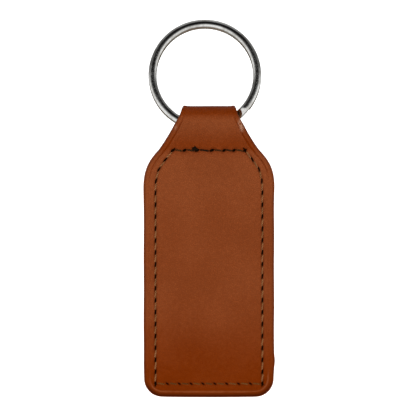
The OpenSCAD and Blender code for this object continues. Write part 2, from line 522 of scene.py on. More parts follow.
class Effects:
    """Shader groups that several finishes share, each built once."""

    def __init__(self) -> None:
        """Builds the groups."""
        self.grain = self._grain()
        self.cloud = self._cloud()
        self.slits = self._slits()

    @staticmethod
    def _grain() -> bpy.types.NodeTree:
        """Fine pebbled grain with pores.

        Returns:
            The group: Height, and Pores as a mask.
        """
        tree, n, given, out = new_group(
            "pebbled_grain",
            [("Place", "NodeSocketVector", None), ("Cells", "NodeSocketFloat", 2.6), ("Pores", "NodeSocketFloat", 0.3)],
            [("Height", "NodeSocketFloat"), ("Pores", "NodeSocketFloat")],
        )
        bend = n.noise(given.outputs["Place"], 0.9, 2.0)
        shift = n.add("ShaderNodeVectorMath", {0: bend.outputs["Color"], 1: (0.35, 0.35, 0.35)}, operation="MULTIPLY")
        place = n.add("ShaderNodeVectorMath", {0: given.outputs["Place"], 1: shift.outputs[0]}, operation="ADD")
        cells = n.add(
            "ShaderNodeTexVoronoi", {"Vector": place.outputs[0], "Scale": given.outputs["Cells"], "Randomness": 1.0},
            feature="DISTANCE_TO_EDGE",
        )
        fine = n.noise(given.outputs["Place"], 7.0, 3.0)
        crowns = n.span(cells.outputs["Distance"], 0.0, 0.28)
        height = n.maths("ADD", n.maths("MULTIPLY", crowns, 0.6), n.maths("MULTIPLY", fine.outputs[0], 0.4))
        specks = n.add(
            "ShaderNodeTexVoronoi", {"Vector": given.outputs["Place"], "Scale": 1.7, "Randomness": 1.0}, feature="F1"
        )
        pores = n.maths("MULTIPLY", n.span(specks.outputs["Distance"], 0.16, 0.04), given.outputs["Pores"])
        n.feed(out.inputs["Height"], n.maths("SUBTRACT", height, pores))
        n.feed(out.inputs["Pores"], pores)
        return tree

    @staticmethod
    def _cloud() -> bpy.types.NodeTree:
        """Cloudy mottling between two colours.

        Returns:
            The group: Colour, and Cloud as a mask.
        """
        tree, n, given, out = new_group(
            "cloudy_tone",
            [
                ("Place", "NodeSocketVector", None),
                ("Light", "NodeSocketColor", (0.5, 0.5, 0.5)),
                ("Dark", "NodeSocketColor", (0.3, 0.3, 0.3)),
                ("Broad", "NodeSocketFloat", 0.09),
                ("Fine", "NodeSocketFloat", 1.1),
            ],
            [("Colour", "NodeSocketColor"), ("Cloud", "NodeSocketFloat")],
        )
        broad = n.noise(given.outputs["Place"], given.outputs["Broad"], 4.0)
        fine = n.noise(given.outputs["Place"], given.outputs["Fine"], 5.0)
        both = n.maths("ADD", n.maths("MULTIPLY", broad.outputs[0], 0.65), n.maths("MULTIPLY", fine.outputs[0], 0.35))
        cloud = n.span(both, 0.35, 0.65)
        n.feed(out.inputs["Colour"], n.mix(cloud, given.outputs["Dark"], given.outputs["Light"]))
        n.feed(out.inputs["Cloud"], cloud)
        return tree

    @staticmethod
    def _slits() -> bpy.types.NodeTree:
        """Leaning needle slits along a seam, from the seam's distances along and across.

        Returns:
            The group: Slit, and Dent as the wider hollow round it.
        """
        tree, n, given, out = new_group(
            "needle_slits",
            [
                ("Seam", "NodeSocketVector", None),
                ("Pitch", "NodeSocketFloat", 3.2),
                ("Long", "NodeSocketFloat", 1.0),
                ("Wide", "NodeSocketFloat", 0.34),
                ("Lean", "NodeSocketFloat", 0.3),
            ],
            [("Slit", "NodeSocketFloat"), ("Dent", "NodeSocketFloat")],
        )
        along, across, count = n.add("ShaderNodeSeparateXYZ", {0: given.outputs["Seam"]}).outputs
        from_hole = n.maths("SUBTRACT", along, n.maths("ROUND", along))
        u = n.maths("MULTIPLY", from_hole, given.outputs["Pitch"])
        cos, sin = n.maths("COSINE", given.outputs["Lean"]), n.maths("SINE", given.outputs["Lean"])
        long_way = n.maths("ABSOLUTE", n.maths("ADD", n.maths("MULTIPLY", u, cos), n.maths("MULTIPLY", across, sin)))
        wide_way = n.maths(
            "ABSOLUTE", n.maths("SUBTRACT", n.maths("MULTIPLY", across, cos), n.maths("MULTIPLY", u, sin))
        )
        end = n.maths("DIVIDE", long_way, n.maths("MULTIPLY", given.outputs["Long"], 0.5))
        flank = n.maths("DIVIDE", wide_way, n.maths("MULTIPLY", given.outputs["Wide"], 0.5))
        reach = n.maths("SQRT", n.maths("ADD", n.maths("POWER", end, 2.0), n.maths("POWER", flank, 2.0)))
        inside = n.maths(
            "MULTIPLY", n.maths("GREATER_THAN", along, -0.3), n.maths("LESS_THAN", along, n.maths("ADD", count, 0.3))
        )
        n.feed(out.inputs["Slit"], n.maths("MULTIPLY", n.span(reach, 1.1, 0.75), inside))
        n.feed(out.inputs["Dent"], n.maths("MULTIPLY", n.span(reach, 2.6, 0.8), inside))
        return tree


def new_material(name: str) -> tuple[bpy.types.Material, Nodes, bpy.types.Node]:
    """Starts a material with one Principled shader.

    Args:
        name: Its name.

    Returns:
        The material, its node helper and the shader.
    """
    material = bpy.data.materials.new(name)
    material.use_nodes = True
    tree = material.node_tree
    tree.nodes.clear()
    nodes = Nodes(tree)
    shader = nodes.add("ShaderNodeBsdfPrincipled")
    out = nodes.add("ShaderNodeOutputMaterial")
    tree.links.new(shader.outputs[0], out.inputs["Surface"])
    return material, nodes, shader


@dataclass(frozen=True)
class TanLeather:
    """Smooth tan leather with painted light in its colour: painted shade on the fold and neck, a painted sheen paling
    the upper panel, painted shade and highlight along its creased edges, darker edge paint with painted shade, and
    painted shadow in its needle holes.
    """

    # pale carries the painted sheen and deep the painted shade: lit and shaded copies of the leather's colour.
    pale: Colour = linear("8e4825")
    deep: Colour = linear("7b2d00")
    # edge is the edge paint's colour, also used for painted shade on the edges and in the dimples round the needle
    # holes, and for the pores and grain.
    edge: Colour = linear("4d1700")
    flesh: Colour = linear("8c6040")
    # The near-black painted shadow inside the needle slits.
    slit: Colour = linear("0c0401")
    scuff: Colour = linear("c89a7c")
    roughness: float = 0.5
    grain: float = 0.17

    def material(self, effects: Effects) -> bpy.types.Material:
        """Builds the finish.

        Args:
            effects: The shared shader groups.

        Returns:
            The material.
        """
        material, n, shader = new_material("tan_leather_finish")
        place = n.millimetres()
        cloud = n.cloudy(effects, place, (0.56, 0.56, 0.56), (0.44, 0.44, 0.44), 0.07, 0.9)
        grain = n.group(effects.grain, {"Place": place, "Cells": 2.4, "Pores": 0.25})
        flesh = n.attribute("flesh")
        # Painted light and shade: the per-point light level, with a little random mottling, mixes the shaded deep
        # colour towards the pale one with its painted sheen.
        painted_light_tone = n.maths("ADD", n.attribute("painted_light_tone"), n.span(cloud.outputs["Cloud"], 0.0, 1.0, -0.09, 0.09), clamp=True)
        colour = n.mix(painted_light_tone, self.deep, self.pale)
        colour = n.mix(0.35, colour, n.mix(1.0, colour, cloud.outputs["Colour"], "OVERLAY"))
        colour = n.mix(n.maths("MULTIPLY", grain.outputs["Pores"], 0.35), colour, self.edge)
        flecks = n.noise(place, 3.2, 3.0)
        rubbed = n.maths("MULTIPLY", n.attribute("worn"), n.span(flecks.outputs[0], 0.44, 0.54), clamp=True)
        colour = n.mix(rubbed, colour, self.scuff)
        speckle = n.span(grain.outputs["Height"], 0.7, 0.25, 0.0, 0.28)
        colour = n.mix(speckle, colour, self.edge)
        # Edge paint together with painted shade on the rolled edges.
        colour = n.mix(n.attribute("edge_paint_and_shade"), colour, self.edge)
        colour = n.mix(flesh, colour, self.flesh)
        slit: bpy.types.NodeSocket | None = None
        shaded_dent: bpy.types.NodeSocket | None = None
        for seam, long, wide, lean in (("seam_side", 1.75, 0.5, 0.14), ("seam_top", 1.3, 0.76, -0.45),
                                       ("seam_bottom", 1.0, 0.44, 0.6)):
            shape = {"Seam": n.attribute(seam, "Vector"), "Long": long, "Wide": wide, "Lean": lean}
            marks = n.group(effects.slits, shape)
            slit = marks.outputs["Slit"] if slit is None else n.maths("MAXIMUM", slit, marks.outputs["Slit"])
            shaded_dent = marks.outputs["Dent"] if shaded_dent is None else n.maths("MAXIMUM", shaded_dent, marks.outputs["Dent"])
        # Painted shade in the dimples round the needle holes, and a near-black painted shadow inside the slits.
        colour = n.mix(n.maths("MULTIPLY", shaded_dent, 0.4), colour, self.edge)
        colour = n.mix(slit, colour, self.slit)
        n.feed(shader.inputs["Base Color"], colour)
        rough = n.maths("ADD", self.roughness, n.maths("MULTIPLY", cloud.outputs["Cloud"], 0.06))
        rough = n.maths("ADD", rough, n.maths("MULTIPLY", n.maths("MAXIMUM", slit, flesh), 0.4), clamp=True)
        n.feed(shader.inputs["Roughness"], rough)
        height = n.maths("MULTIPLY", grain.outputs["Height"], self.grain)
        height = n.maths("SUBTRACT", height, n.maths("MULTIPLY", shaded_dent, 0.14))
        height = n.maths("SUBTRACT", height, n.maths("MULTIPLY", slit, 0.25))
        height = n.maths("ADD", height, n.maths("MULTIPLY", cloud.outputs["Cloud"], 0.03))
        n.bump(shader, height, 0.8, MM)
        shader.inputs["Specular IOR Level"].default_value = 0.1
        shader.inputs["Specular Tint"].default_value = (1.0, 0.62, 0.3, 1.0)
        return material


@dataclass(frozen=True)
class NickelSteel:
    """Bright nickel plating with faint drawing lines and a few rub marks."""

    bright: Colour = linear("e6e6e4")
    dull: Colour = linear("b9b7b2")
    roughness: float = 0.03

    def material(self, effects: Effects) -> bpy.types.Material:
        """Builds the finish.

        Args:
            effects: The shared shader groups.

        Returns:
            The material.
        """
        material, n, shader = new_material("nickel_steel_finish")
        place = n.millimetres()
        cloud = n.cloudy(effects, place, self.bright, self.dull, 0.35, 2.5)
        n.feed(shader.inputs["Base Color"], cloud.outputs["Colour"])
        shader.inputs["Metallic"].default_value = 1.0
        rub = n.noise(place, 4.0, 6.0)
        across = n.add("ShaderNodeSeparateXYZ", {0: place}).outputs[0]
        rubbed = n.span(n.maths("ABSOLUTE", across), 8.0, 13.0, 0.05, 0.18)
        rough = n.maths("ADD", self.roughness, n.maths("MULTIPLY", n.span(rub.outputs[0], 0.4, 0.65), rubbed))
        n.feed(shader.inputs["Roughness"], rough)
        lines = n.noise(n.attribute("wire_lines", "Vector"), 5.0, 2.0)
        height = n.maths("ADD", n.maths("MULTIPLY", lines.outputs[0], 0.5), n.maths("MULTIPLY", rub.outputs[0], 0.5))
        n.bump(shader, height, 0.08, 0.08 * MM)
        return material


@dataclass(frozen=True)
class TanThread:
    """Twisted sewing thread in lit and shaded copies of one colour: lit tan along the sides, brown along the bottom,
    painted dark shade across the top.
    """

    # The lit tan, the brown and the dark shaded copy of the thread's colour; dark also serves the painted shade between
    # the plies and the random mottling.
    tan: Colour = linear("d08a56")
    brown: Colour = linear("a4662c")
    dark: Colour = linear("1c0e04")
    roughness: float = 0.62

    def material(self, effects: Effects, name: str) -> bpy.types.Material:
        """Builds the finish.

        Args:
            effects: The shared shader groups.
            name: Name of the material.

        Returns:
            The material.
        """
        material, n, shader = new_material(name)
        place = n.millimetres()
        # Painted light by row: the dark shaded copy on the top row, brown on the bottom, the lit tan on the sides.
        shade = n.attribute("painted_light_tone")
        painted_light_tone = n.mix(n.span(shade, 0.0, 0.5, soft=False), self.dark, self.brown)
        painted_light_tone = n.mix(n.span(shade, 0.5, 1.0, soft=False), painted_light_tone, self.tan)
        cloud = n.cloudy(effects, place, painted_light_tone, self.dark, 0.5, 6.0)
        colour = n.mix(0.75, cloud.outputs["Colour"], painted_light_tone)
        # Painted shade in the grooves between the twisted plies.
        ply_shading = n.attribute("ply_shading")
        colour = n.mix(n.maths("MULTIPLY", n.span(ply_shading, 0.9, 0.3), 0.95), colour, self.dark)
        n.feed(shader.inputs["Base Color"], colour)
        fuzz = n.noise(place, 14.0, 4.0)
        n.feed(shader.inputs["Roughness"], n.maths("ADD", self.roughness, n.maths("MULTIPLY", fuzz.outputs[0], 0.2)))
        n.bump(shader, fuzz.outputs[0], 0.5, 0.06 * MM)
        shader.inputs["Specular IOR Level"].default_value = 0.1
        return material


@dataclass(frozen=True)
class EdgePaintFinish:
    """Brown edge paint, slightly glossy, with the layers of the cut edge showing through."""

    light: Colour = linear("9a4e22")
    dark: Colour = linear("803c14")
    roughness: float = 0.5

    def material(self, effects: Effects) -> bpy.types.Material:
        """Builds the finish.

        Args:
            effects: The shared shader groups.

        Returns:
            The material.
        """
        material, n, shader = new_material("edge_paint_finish")
        place = n.millimetres((1.0, 4.0, 1.0))
        cloud = n.cloudy(effects, place, self.light, self.dark, 0.25, 1.6)
        n.feed(shader.inputs["Base Color"], cloud.outputs["Colour"])
        rough = n.maths("ADD", self.roughness, n.maths("MULTIPLY", cloud.outputs["Cloud"], 0.2))
        n.feed(shader.inputs["Roughness"], rough)
        grain = n.group(effects.grain, {"Place": place, "Cells": 1.4, "Pores": 0.5})
        n.bump(shader, grain.outputs["Height"], 0.5, 0.05 * MM)
        return material


@dataclass(frozen=True)
class FibreBoard:
    """Grey-brown pressed board with short fibres."""

    light: Colour = linear("9a8c74")
    dark: Colour = linear("6b5f4c")

    def material(self, effects: Effects) -> bpy.types.Material:
        """Builds the finish.

        Args:
            effects: The shared shader groups.

        Returns:
            The material.
        """
        material, n, shader = new_material("fibre_board_finish")
        place = n.millimetres((1.0, 3.0, 1.0))
        cloud = n.cloudy(effects, place, self.light, self.dark, 0.2, 3.0)
        n.feed(shader.inputs["Base Color"], cloud.outputs["Colour"])
        fibres = n.add("ShaderNodeTexWave", {"Vector": place, "Scale": 0.8, "Distortion": 9.0, "Detail": 4.0})
        n.feed(shader.inputs["Roughness"], n.span(fibres.outputs["Fac"], 0.0, 1.0, 0.75, 0.95))
        n.bump(shader, fibres.outputs["Fac"], 0.4, 0.1 * MM)
        return material


# ---- the pieces ----


@dataclass
class SplitRing:
    """The split ring: one flat wire wound twice round, stepping from the front coil to the rear one."""

    sizes: FobSizes
    finish: NickelSteel
    ring_r: float = 15.3
    wire_w: float = 2.22
    wire_t: float = 1.4
    pitch: float = 1.48
    step_at: float = -40.0
    step_arc: float = 22.0
    end_gap: float = 2.5
    section_points: int = 28
    squareness: float = 3.0
    lift: float = 0.04
    coil_steps: int = 150

    def place(self) -> Matrix:
        """Stands the ring's own frame, its axis along Z and its front up, in the part's frame.

        Returns:
            The matrix.
        """
        low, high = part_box("split_ring")
        swing = self.sizes.centre
        mid = (low + high) / 2 / MM
        lean = math.atan2(mid.y - swing.y, mid.z - swing.z)
        drop = self.ring_r - self.wire_w - 1.0
        centre = Vector((0.0, swing.y + drop * math.sin(lean), swing.z + drop * math.cos(lean) + self.lift))
        turned = Matrix.Rotation(-lean, 4, "X") @ Matrix.Rotation(math.pi / 2, 4, "X")
        return Matrix.Scale(MM, 4) @ Matrix.Translation(centre) @ turned

    def section(self, bm: bmesh.types.BMesh) -> bmesh.types.BMFace:
        """Draws the wire's crowned, round-cornered section at the origin.

        Args:
            bm: The mesh to draw it in.

        Returns:
            The section's face.
        """
        made = bmesh.ops.create_circle(bm, cap_ends=True, radius=1.0, segments=self.section_points)
        power = 2 / self.squareness
        for v in made["verts"]:
            v.co.x = math.copysign(abs(v.co.x) ** power, v.co.x) * self.wire_w / 2
            v.co.y = math.copysign(abs(v.co.y) ** power, v.co.y) * self.wire_t / 2
        return made["verts"][0].link_faces[0]

    def build(self, effects: Effects) -> bpy.types.Object:
        """Builds the ring and puts it on its body.

        Args:
            effects: The shared shader groups.

        Returns:
            The piece.
        """
        bm = bmesh.new()
        face = self.section(bm)
        mid_r = self.ring_r - self.wire_w / 2
        coil = 360 - self.step_arc - self.end_gap
        start = math.radians(self.step_at + coil)
        stand = (
            Matrix.Rotation(start, 4, "Z")
            @ Matrix.Translation((mid_r, 0.0, self.pitch / 2))
            @ Matrix.Rotation(math.pi / 2, 4, "X")
        )
        bmesh.ops.transform(bm, matrix=stand, verts=face.verts[:])
        caps = [face]
        geom: list = [face, *face.edges, *face.verts]
        step_turns = 16
        legs = [(coil, self.coil_steps, 0.0)]
        for i in range(step_turns):
            share = smooth(0, 1, (i + 1) / step_turns) - smooth(0, 1, i / step_turns)
            legs.append((self.step_arc / step_turns, 1, -self.pitch * share))
        legs.append((coil, self.coil_steps, 0.0))
        for turn, steps, drop in legs:
            made = bmesh.ops.spin(
                bm, geom=geom, cent=(0, 0, 0), axis=(0, 0, 1), dvec=(0, 0, drop / steps),
                angle=-math.radians(turn), steps=steps, use_merge=False, use_duplicate=False,
            )
            geom = made["geom_last"]
        caps.append(next(g for g in geom if isinstance(g, bmesh.types.BMFace)))
        rim = list({e for f in caps for e in f.edges})
        bmesh.ops.bevel(
            bm, geom=rim, offset=0.12, affect="EDGES", segments=2, profile=0.5, material=-1, clamp_overlap=True
        )
        lines = bm.verts.layers.float_vector.new("wire_lines")
        for v in bm.verts:
            radius = math.hypot(v.co.x, v.co.y)
            v[lines] = (radius * 3.0, v.co.z * 3.0, math.atan2(v.co.y, v.co.x) * 0.6)
        obj = finish_mesh(bm, "ring_wire", self.place(), self.finish.material(effects))
        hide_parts("split_ring")
        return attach(obj, "ring")


@dataclass
class LeatherStrap:
    """The one long leather strap: front panel, fold over the ring, and back panel."""

    sizes: FobSizes
    finish: TanLeather
    neck_r: float = 8.0
    round_r: float = 0.9
    row_pitch: float = 0.42
    insets: tuple[float, ...] = (
        0.0, 0.08, 0.2, 0.36, 0.55, 0.75, 0.92, 1.06, 1.18, 1.3, 1.42, 1.54, 1.7, 1.95, 2.3,
        2.6, 2.8, 2.95, 3.1, 3.25, 3.4, 3.6, 3.9, 4.3, 4.8,
    )
    inner_columns: int = 18
    # Painted light down the strap, by depth below the fold's top: painted shade on the up-facing top of the fold and on
    # the down-turned neck above the top stitch row, and a painted sheen that pales the upper panel and fades away
    # towards the bottom.
    painted_light_depths: tuple[float, ...] = (
        0.0, 2.2, 2.9, 4.0, 6.0, 7.0, 8.7, 10.3, 11.6, 12.6, 14.0, 20.0, 26.0, 34.0, 42.0, 50.0, 58.0, 66.0, 73.0, 78.4,
    )
    painted_light_tones: tuple[float, ...] = (
        0.05, 0.08, 0.55, 0.95, 0.95, 0.75, 0.5, 0.3, 0.35, 0.8, 1.0, 1.0, 0.9, 0.85, 0.8, 0.8, 0.6, 0.2, 0.0, 0.0,
    )

    def side_path(self) -> list[Point]:
        """The outer face of the front half seen from the side, from the panel up to the fold's top.

        Returns:
            Points of Y and Z, close together, with Y counted away from the middle.
        """
        s = self.sizes
        arch_r = s.fold_top
        loop_r = s.loop_r
        arch_y = loop_r - arch_r
        reach = math.hypot(s.face, s.bend_at)
        slope = math.pi / 2 - math.atan2(s.face, -s.bend_at) - math.acos(loop_r / reach)
        tangent = self.neck_r * math.tan(slope / 2)
        centre = (s.face + self.neck_r, s.bend_at - tangent)
        return [
            (s.face, s.bottom),
            *arc(centre, self.neck_r, math.pi, math.pi - slope, 16),
            *arc((0.0, 0.0), loop_r, -slope, 0.0, 24),
            *arc((arch_y, 0.0), arch_r, 0.0, math.pi / 2, 40)[1:],
            (0.0, arch_r),
        ]

    def rows(self) -> list[tuple[float, float, float, float, float]]:
        """Cuts the whole path, front bottom to back bottom, into rows.

        Returns:
            For each row: Y, Z, the inward normal's Y and Z, and the distance to the nearer bottom edge.
        """
        half = [(-y, z) for y, z in self.side_path()]
        whole = np.array(half + [(-y, z) for y, z in reversed(half[:-1])], float)
        steps = np.linalg.norm(np.diff(whole, axis=0), axis=1)
        along = np.concatenate([[0.0], np.cumsum(steps)])
        total = float(along[-1])
        middle = np.arange(self.insets[-1] + 0.6, total - self.insets[-1] - 0.6, self.row_pitch)
        places = np.concatenate([self.insets, middle, total - np.array(self.insets[::-1])])
        look = 0.15
        spots = (places, np.minimum(places + look, total), np.maximum(places - look, 0))
        here, after, before = (np.array([np.interp(p, along, whole[:, k]) for k in (0, 1)]) for p in spots)
        ahead = (after - before) / np.hypot(*(after - before))
        edge = np.minimum(places, total - places)
        return [tuple(float(v) for v in row) for row in zip(*here, ahead[1], -ahead[0], edge)]

    def across(self, count: int) -> list[tuple[int, float, float]]:
        """How each column of the grid lies across the strap.

        Args:
            count: Number of columns.

        Returns:
            For each column: its side, its inset from that edge, and for inner columns its share of the way across.
        """
        edge = len(self.insets)
        out: list[tuple[int, float, float]] = []
        for i in range(count):
            if i < edge:
                out.append((-1, self.insets[i], -1.0))
            elif i >= count - edge:
                out.append((1, self.insets[count - 1 - i], 1.0))
            else:
                share = (i - edge + 1) / (self.inner_columns + 1) * 2 - 1
                out.append((1 if share > 0 else -1, -1.0, share))
        return out

    def locate(self, row: tuple[float, float, float, float, float], column: tuple[int, float, float],
               halves: tuple[float, float], spread: float, deep: bool) -> tuple[Vector, float]:
        """Finds where a grid point lies on the leather.

        Args:
            row: The row's place, normal and distance to the bottom edge.
            column: The column's side, inset and share.
            halves: The distances from the middle to the left and right edges.
            spread: How much longer a sloped edge makes a step across.
            deep: Whether the point is on the inner face.

        Returns:
            The point, and its distance from the nearest cut edge.
        """
        s = self.sizes
        y, z, ny, nz, low = row
        side, inset, share = column
        half = halves[0] if side < 0 else halves[1]
        last = self.insets[-1]
        if inset >= 0:
            x = side * (half - inset * spread)
        else:
            left = last * spread - halves[0]
            right = halves[1] - last * spread
            x = left + (right - left) * (share + 1) / 2
            inset = last
        rim = min(inset, low)
        r = s.corner_r
        if inset < r and low < r:
            dx, dz = r - inset, r - low
            big = max(dx, dz)
            angle = math.pi / 4 * (dz / dx) if dx >= dz else math.pi / 2 - math.pi / 4 * (dx / dz)
            x = side * (half - r + big * math.cos(angle))
            z = s.bottom + r - big * math.sin(angle)
        z -= s.sag * smooth(4.0, 0.5, low) * (1 - min(1.0, abs(x) / s.sag_half) ** 2) if low < 4.0 else 0.0
        inner = s.leather_t - 0.32 * smooth(s.bend_at - 1.0, s.bend_at + 1.0, z) * max(0.0, 1 - rim / 1.1) ** 2
        depth = inner if deep else self.fall(rim, x, z, row)
        return Vector((x, y + ny * depth, z + nz * depth)), rim

    def fall(self, rim: float, x: float, z: float, row: tuple[float, float, float, float, float]) -> float:
        """How far the outer face lies below the flat there.

        Args:
            rim: Distance from the cut edge.
            x: Place across.
            z: Height.
            row: The row's place, normal and distance to the bottom edge; not used.

        Returns:
            The depth, negative where the face swells.
        """
        s = self.sizes
        flat = s.fold_top - z
        foot = smooth(s.bottom + 9.0, s.bottom + 3.0, z)
        round_r = self.round_r * (0.45 + 0.55 * smooth(0.5, 4.0, flat)) + 0.45 * foot
        depth = 0.0
        if rim < round_r:
            depth += self.round_r * (1 - math.sqrt(max(0.0, 1 - (1 - rim / round_r) ** 2)))
        shoulder = smooth(2.0, 4.5, flat) * (1 - smooth(15.0, 22.0, flat))
        crease = 0.22 * shoulder + 0.02
        depth += crease * bell(rim, 1.35, 0.17)
        depth -= (0.07 * shoulder + 0.02) * bell(rim, 1.75, 0.25)
        depth -= 0.14 * (1 - smooth(0.4, 2.4, flat)) * bell(rim, 0.7, 0.6)
        ripple = 1 + 0.35 * math.sin(x * 0.9) + 0.2 * math.sin(x * 2.1 + 1.0)
        depth -= 0.19 * foot * ripple * bell(rim, 1.4, 0.28)
        depth += 0.07 * foot * bell(rim, 2.1, 0.35)
        seam = bell(rim, s.stitch_inset, 0.55) if z < s.fold_top - s.stitch_top_z else 0.0
        seam = max(seam, bell(flat, s.stitch_top_z, 0.6) if rim > s.stitch_inset else 0.0)
        depth += 0.08 * seam
        inside = smooth(3.3, 9.0, rim) * smooth(s.bend_at - 1.0, s.bend_at - 9.0, z)
        depth -= 0.08 * inside
        wave = math.sin(x * 0.31 + 1.3) * math.sin(z * 0.17 + 0.4) + 0.6 * math.sin(x * 0.13 - z * 0.21)
        depth -= 0.035 * wave * smooth(1.5, 4.5, rim)
        return depth

    def seam_attributes(self, points: np.ndarray, rows: Sequence[tuple[Row, list[Point]]]) -> np.ndarray:
        """Distance along and across the nearest of some rows of stitches.

        Args:
            points: X and Z of each point.
            rows: The rows.

        Returns:
            For each point: distance along in stitches, distance across, and the number of stitches, or -1 away
            from the rows.
        """
        best = np.full(len(points), 1e9)
        out = np.zeros((len(points), 3))
        for _, holes in rows:
            h = np.array(holes, float)
            for i in range(len(h) - 1):
                step = h[i + 1] - h[i]
                size = float(np.hypot(*step))
                rel = points - h[i]
                raw = rel @ step / size**2
                low = -3.0 if i == 0 else 0.0
                high = 4.0 if i == len(h) - 2 else 1.0
                t = np.clip(raw, low, high)
                gap = rel - np.outer(t, step)
                dist = np.hypot(gap[:, 0], gap[:, 1])
                cross = (rel[:, 0] * step[1] - rel[:, 1] * step[0]) / size
                near = dist < best
                best[near] = dist[near]
                out[near] = np.stack(
                    [i + t[near], cross[near], np.full(int(near.sum()), len(h) - 1.0)], axis=1
                )
        out[best > 1.5, 2] = -1.0
        return out

    def sheet(self, bm: bmesh.types.BMesh, deep: bool) -> None:
        """Lays one face of the leather as a grid.

        Args:
            bm: The mesh.
            deep: Whether it is the inner face.
        """
        s = self.sizes
        rows = self.rows()
        columns = self.across(2 * len(self.insets) + self.inner_columns)
        across, along = len(columns) - 1, len(rows) - 1
        halves = [(s.half_at(r[1], -1), s.half_at(r[1], 1)) for r in rows]
        spreads = []
        for j in range(len(rows)):
            a, b = max(0, j - 1), min(along, j + 1)
            run = math.hypot(rows[b][0] - rows[a][0], rows[b][1] - rows[a][1])
            spreads.append(math.hypot(1.0, (halves[b][1] - halves[a][1]) / run))
        made = bmesh.ops.create_grid(bm, x_segments=across, y_segments=along, size=0.5)
        rim_layer = bm.verts.layers.float["rim"]
        flesh_layer = bm.verts.layers.float["flesh"]
        cell_layer = bm.verts.layers.int["cell"]
        for v in made["verts"]:
            i = round((v.co.x + 0.5) * across)
            j = round((v.co.y + 0.5) * along)
            v.co, rim = self.locate(rows[j], columns[i], halves[j], spreads[j], deep)
            v[rim_layer] = rim
            v[flesh_layer] = 1.0 if deep and 0 < i < across and 0 < j < along else 0.0
            v[cell_layer] = j * len(columns) + i

    def build(self, effects: Effects) -> bpy.types.Object:
        """Builds the strap and lets it bend at the neck.

        Args:
            effects: The shared shader groups.

        Returns:
            The piece.
        """
        s = self.sizes
        bm = bmesh.new()
        for name in ("rim", "flesh", "worn", "painted_light_tone", "edge_paint_and_shade"):
            bm.verts.layers.float.new(name)
        cell = bm.verts.layers.int.new("cell")
        self.sheet(bm, deep=True)
        inner_edge = {v[cell]: v.co.copy() for v in bm.verts if v.is_boundary}
        self.sheet(bm, deep=False)
        half = len(bm.verts) // 2
        bm.verts.index_update()
        outer_edge = [e for e in bm.edges if e.is_boundary and e.verts[0].index >= half]
        made = bmesh.ops.extrude_edge_only(bm, edges=outer_edge)
        for v in (g for g in made["geom"] if isinstance(g, bmesh.types.BMVert)):
            v.co = inner_edge[v[cell]]
        bmesh.ops.remove_doubles(bm, verts=[v for v in bm.verts if v.is_boundary], dist=0.0001)
        bm.verts.layers.int.remove(cell)
        seams = {row: f"seam_{row.name.lower()}" for row in Row}
        for name in seams.values():
            bm.verts.layers.float_vector.new(name)
        rim, worn, painted_light_tone, edge_paint_and_shade = (bm.verts.layers.float[name] for name in ("rim", "worn", "painted_light_tone", "edge_paint_and_shade"))
        verts = list(bm.verts)
        flat = np.array([(v.co.x, v.co.z) for v in verts], float)
        rows = s.stitch_rows()
        for row, name in seams.items():
            layer = bm.verts.layers.float_vector[name]
            for v, place in zip(verts, self.seam_attributes(flat, [r for r in rows if r[0] is row])):
                v[layer] = place
        for v in verts:
            v[worn] = self.wear(v.co)
            # Darker edge: partly the real edge paint, partly painted shade where the edge rolls away from the light,
            # wider and deeper along the foot.
            foot = smooth(s.bottom + 5.0, s.bottom + 1.5, v.co.z)
            v[edge_paint_and_shade] = (0.4 + 0.6 * foot) * (1 - smooth(0.05 + 0.35 * foot, 0.8 + 0.5 * foot, v[rim]))
            # Painted light: shade on the fold top and the neck, sheen fading down the panel, plus painted shade and
            # highlight along the creases.
            v[painted_light_tone] = float(np.interp(s.fold_top - v.co.z, self.painted_light_depths, self.painted_light_tones)) + self.crease_light_and_shade(v.co, v[rim])
        obj = finish_mesh(bm, "leather_strap", s.to_frame, self.finish.material(effects))
        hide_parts("loop_leather", "front_leather", "back_leather")
        return bend_at_neck(obj, s)

    def crease_light_and_shade(self, place: Vector, rim: float) -> float:
        """Painted light along the creased edge: painted shade in the shoulder crease with a painted highlight just
        inside it, and along the foot a painted highlight on the ridge with painted shade just inside it.

        Args:
            place: The point.
            rim: Its distance from the cut edge.

        Returns:
            What to add to the painted light level.
        """
        s = self.sizes
        flat = s.fold_top - place.z
        shoulder = smooth(2.5, 5.0, flat) * (1 - smooth(15.5, 22.0, flat))
        foot = smooth(s.bottom + 9.0, s.bottom + 2.5, place.z)
        ripple = 1 + 0.3 * math.sin(place.x * 0.9) + 0.2 * math.sin(place.x * 2.1 + 1.0)
        # Painted shade in the crease grooves and painted highlights on the ridges beside them.
        add = -(0.7 * shoulder + 0.08) * bell(rim, 1.35, 0.16)
        add += 0.15 * shoulder * bell(rim, 1.75, 0.25)
        add += 1.3 * foot * ripple * bell(rim, 1.45, 0.2)
        add -= 0.4 * foot * bell(rim, 2.0, 0.25)
        return add

    def wear(self, place: Vector) -> float:
        """Rubbed spots on the front shoulder.

        Args:
            place: The point.

        Returns:
            Strength of the rub there.
        """
        if place.y > 0:
            return 0.0
        total = 0.0
        for x, z, size, strength in ((8.35, -1.1, 0.4, 1.7), (8.85, -2.5, 0.4, 1.7), (-9.0, -2.4, 0.35, 0.6)):
            total += strength * math.exp(-(((place.x - x) / size) ** 2 + ((place.z - z) / (1.8 * size)) ** 2))
        return total


def bend_at_neck(obj: bpy.types.Object, sizes: FobSizes, reach: float = 2.5) -> bpy.types.Object:
    """Makes a piece bend between the loop and the tag.

    Args:
        obj: The piece.
        sizes: The fob's sizes.
        reach: How far either side of the bending line the bend spreads.

    Returns:
        The piece.
    """
    above = sizes.to_frame @ Vector((0.0, 0.0, sizes.bend_at + reach))
    below = sizes.to_frame @ Vector((0.0, 0.0, sizes.bend_at - reach))
    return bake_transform(obj, "loop", "tag", start=tuple(above), end=tuple(below))


